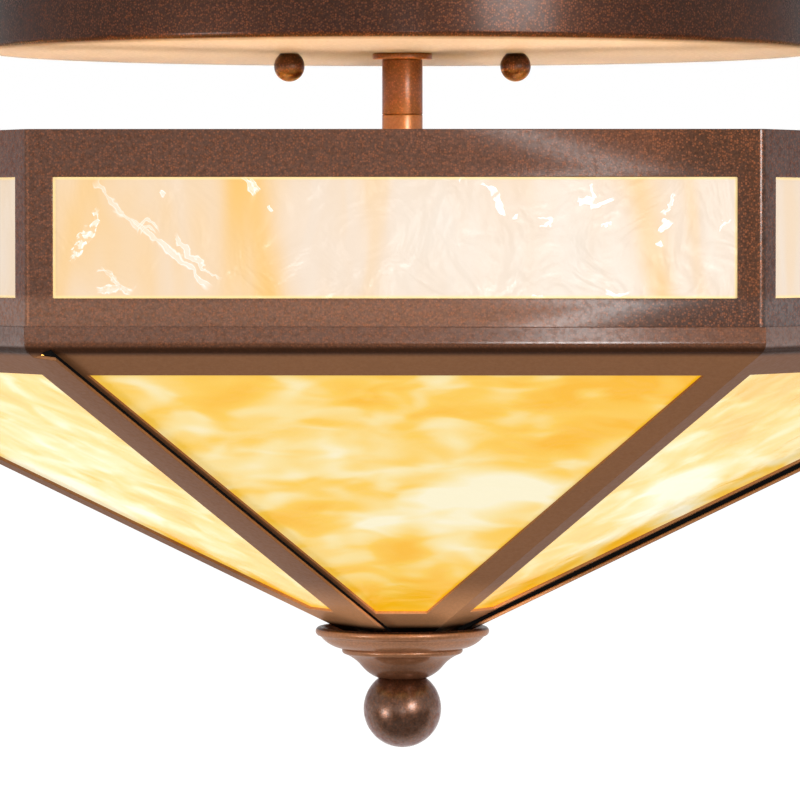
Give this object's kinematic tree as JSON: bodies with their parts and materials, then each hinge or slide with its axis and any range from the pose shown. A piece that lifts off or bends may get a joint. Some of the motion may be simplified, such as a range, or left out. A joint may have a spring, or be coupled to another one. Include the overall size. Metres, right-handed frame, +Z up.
{
  "type": "semi flush ceiling light",
  "caption": "Hexagonal ceiling light: glazed band over a glazed, folded pan, on a short stem under a round canopy, closed by a ball finial.",
  "frame": {"origin": "on the stem's axis, in the ceiling plane, at the middle of the two outlet box screw slots", "axes": "+Z up into the ceiling, -Y out of the front face of the hexagon, X through the two canopy studs"},
  "size_m": [0.5228, 0.4528, 0.3051],
  "materials": {
    "bronze_paint": "fine textured, speckled copper on dark bronze",
    "plated_steel": "zinc plated",
    "green_screw": "satin",
    "black_sealant": "satin silicone",
    "band_art_glass": "streaked art glass",
    "pan_art_glass": "streaked art glass",
    "socket_plastic": "moulded",
    "socket_brass": "bright",
    "bulb_cap": "pressed",
    "bulb_frost": "frosted"
  },
  "bodies": {
    "fixture": {"canopy": "bronze_paint", "canopy_collar": "bronze_paint", "stem_tube": "bronze_paint", "stem_coupling": "bronze_paint", "stem_spacer": "bronze_paint", "spider": "bronze_paint", "cluster_body": "bronze_paint", "cluster_cover": "bronze_paint", "band_frame": "bronze_paint", "pan_sheet_front": "bronze_paint", "pan_sheet_right": "bronze_paint", "pan_sheet_left": "bronze_paint", "finial_cap": "bronze_paint", "mounting_strap": "plated_steel", "canopy_studs": "plated_steel", "stud_nuts": "plated_steel", "hanger_pipe": "plated_steel", "canopy_washer": "plated_steel", "canopy_nut": "plated_steel", "cluster_nut": "plated_steel", "socket_nipples": "plated_steel", "finial_rod": "plated_steel", "rod_nut": "plated_steel", "base_plate": "plated_steel", "base_nut": "plated_steel", "seat_washer": "plated_steel", "band_glass_clips": "plated_steel", "pan_glass_clips": "plated_steel", "ground_screw": "green_screw", "seam_sealant": "black_sealant", "band_glass_front": "band_art_glass", "pan_glass_front": "pan_art_glass", "band_glass_right": "band_art_glass", "pan_glass_right": "pan_art_glass", "band_glass_back_right": "band_art_glass", "pan_glass_back_right": "pan_art_glass", "band_glass_back": "band_art_glass", "pan_glass_back": "pan_art_glass", "band_glass_back_left": "band_art_glass", "pan_glass_back_left": "pan_art_glass", "band_glass_left": "band_art_glass", "pan_glass_left": "pan_art_glass", "socket_1": "socket_plastic", "socket_shell_1": "socket_brass", "socket_2": "socket_plastic", "socket_shell_2": "socket_brass", "socket_3": "socket_plastic", "socket_shell_3": "socket_brass", "socket_contacts": "socket_brass"},
    "ball_nut_left": {"ball_nut_left": "bronze_paint"},
    "ball_nut_right": {"ball_nut_right": "bronze_paint"},
    "finial_ball": {"finial_ball": "bronze_paint"},
    "bulb_1": {"bulb_base_1": "bulb_cap", "bulb_glass_1": "bulb_frost"},
    "bulb_2": {"bulb_base_2": "bulb_cap", "bulb_glass_2": "bulb_frost"},
    "bulb_3": {"bulb_base_3": "bulb_cap", "bulb_glass_3": "bulb_frost"}
  },
  "joints": [
    {"name": "ball_nut_left_turn", "type": "hinge", "parent": "fixture", "child": "ball_nut_left", "pos_m": [-0.04445, 0, -0.037], "axis": [0, 0, -1], "continuous": true},
    {"name": "ball_nut_right_turn", "type": "hinge", "parent": "fixture", "child": "ball_nut_right", "pos_m": [0.04445, 0, -0.037], "axis": [0, 0, -1], "continuous": true},
    {"name": "finial_ball_turn", "type": "hinge", "parent": "fixture", "child": "finial_ball", "pos_m": [0, 0, -0.28981], "axis": [0, 0, -1], "continuous": true},
    {"name": "bulb_1_turn", "type": "hinge", "parent": "fixture", "child": "bulb_1", "pos_m": [0.0122, -0.02113, -0.11469], "axis": [0.171, -0.2962, -0.9397], "continuous": true},
    {"name": "bulb_2_turn", "type": "hinge", "parent": "fixture", "child": "bulb_2", "pos_m": [0.0122, 0.02113, -0.11469], "axis": [0.171, 0.2962, -0.9397], "continuous": true},
    {"name": "bulb_3_turn", "type": "hinge", "parent": "fixture", "child": "bulb_3", "pos_m": [-0.02439, 0, -0.11469], "axis": [-0.342, 0, -0.9397], "continuous": true}
  ]
}
